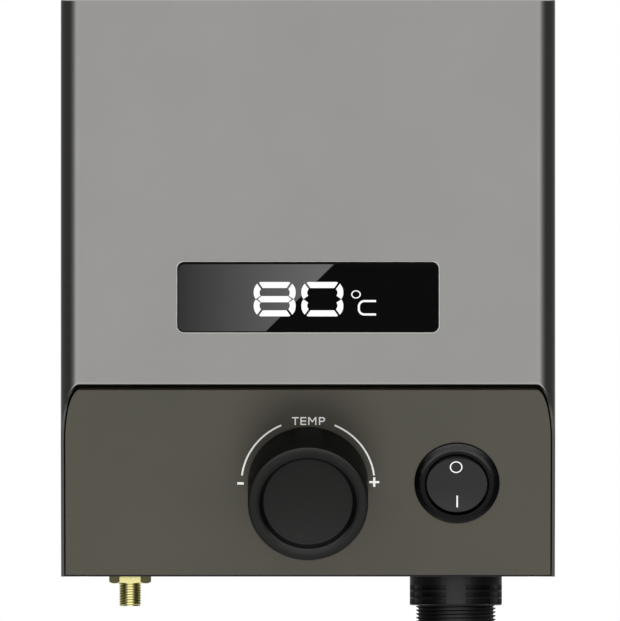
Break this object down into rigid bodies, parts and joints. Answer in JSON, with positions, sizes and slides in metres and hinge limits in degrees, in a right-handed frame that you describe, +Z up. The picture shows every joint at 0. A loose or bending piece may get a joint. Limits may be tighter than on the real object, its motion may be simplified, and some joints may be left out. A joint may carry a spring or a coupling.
{
  "type": "electric water heater",
  "caption": "Control head of a screw-in immersion water heater: display, temperature knob and rocker switch in front, threaded boss and hairpin heating rod behind.",
  "frame": {"origin": "centre of the tank thread's sealing plane, on the rod's axis", "axes": "+Y along the rod into the tank, +Z up, the head's front looks along -Y"},
  "size_m": [0.144, 0.447, 0.1925],
  "materials": {
    "cover_finish": "satin grey coat with a fine grain",
    "housing_finish": "satin dark grey coat",
    "panel_finish": "satin warm dark grey coat",
    "gasket_rubber": "matt black",
    "tank_seal_fibre": "dull red-brown fibre",
    "window_glass": "black, mirror-smooth",
    "lit_segments": "white, lit from behind",
    "knob_plastic": "soft matt black",
    "switch_plastic": "black with a low gloss",
    "rocker_plastic": "black, fine matt grain",
    "black_moulding": "matt black",
    "board_green": "green solder mask",
    "metal_steel": "bright steel",
    "element_tube": "drawn stainless tube",
    "gold_brass": "gold plated",
    "plain_brass": "machined brass",
    "white_insulation": "white",
    "cast_alloy": "plain alloy",
    "package_black": "black package",
    "capacitor_sleeve": "dark blue sleeve",
    "lead_sheath": "dark silicone sheath"
  },
  "bodies": {
    "head": {"antenna_lead": "lead_sheath", "base_screws": "metal_steel", "board_screws": "metal_steel", "board_standoffs": "plain_brass", "boss_ring_nut": "plain_brass", "boss_washer_seal": "gasket_rubber", "bottom_plate": "housing_finish", "capacitors": "capacitor_sleeve", "control_board": "board_green", "control_panel": "panel_finish", "display_board": "board_green", "display_module": "black_moulding", "display_seal": "gasket_rubber", "display_window": "window_glass", "earth_stud": "metal_steel", "element_spacers": "metal_steel", "encoder_body": "cast_alloy", "encoder_nut": "metal_steel", "encoder_washer": "metal_steel", "front_cover": "cover_finish", "heat_spreader": "cast_alloy", "heating_element_1": "element_tube", "heating_element_2": "element_tube", "heating_element_3": "element_tube", "housing_gasket": "gasket_rubber", "housing_screws": "metal_steel", "inlet_body": "black_moulding", "inlet_insert": "black_moulding", "inlet_pins": "plain_brass", "inlet_ring_nut": "black_moulding", "inlet_seal": "gasket_rubber", "panel_gasket": "gasket_rubber", "power_board": "board_green", "power_leads": "lead_sheath", "power_standoffs": "plain_brass", "power_switches": "package_black", "radio_module": "metal_steel", "rear_housing": "housing_finish", "relays": "black_moulding", "screw_boss": "plain_brass", "segment_lenses": "lit_segments", "sma_body": "gold_brass", "sma_contact": "gold_brass", "sma_insulator": "white_insulation", "sma_nut": "gold_brass", "sma_seal": "gasket_rubber", "switch_housing": "switch_plastic", "switch_terminals": "plain_brass", "tank_seal": "tank_seal_fibre", "temperature_sensor": "lead_sheath", "terminal_block": "black_moulding", "terminal_insulators": "white_insulation", "terminal_studs": "metal_steel", "thermal_cutout": "black_moulding", "thermowell": "metal_steel", "transformer": "package_black"},
    "knob": {"knob": "knob_plastic", "knob_insert": "plain_brass", "encoder_shaft": "metal_steel"},
    "rocker": {"rocker": "rocker_plastic"}
  },
  "joints": [
    {"name": "knob_spin", "type": "hinge", "parent": "head", "child": "knob", "pos_m": [0, -0.10326, -0.0567], "axis": [0, -0.9466, -0.3223], "continuous": true},
    {"name": "rocker_tilt", "type": "hinge", "parent": "head", "child": "rocker", "pos_m": [0.0434, -0.1027, -0.05651], "axis": [-1, 0, 0], "range_deg": [0, 13]}
  ]
}
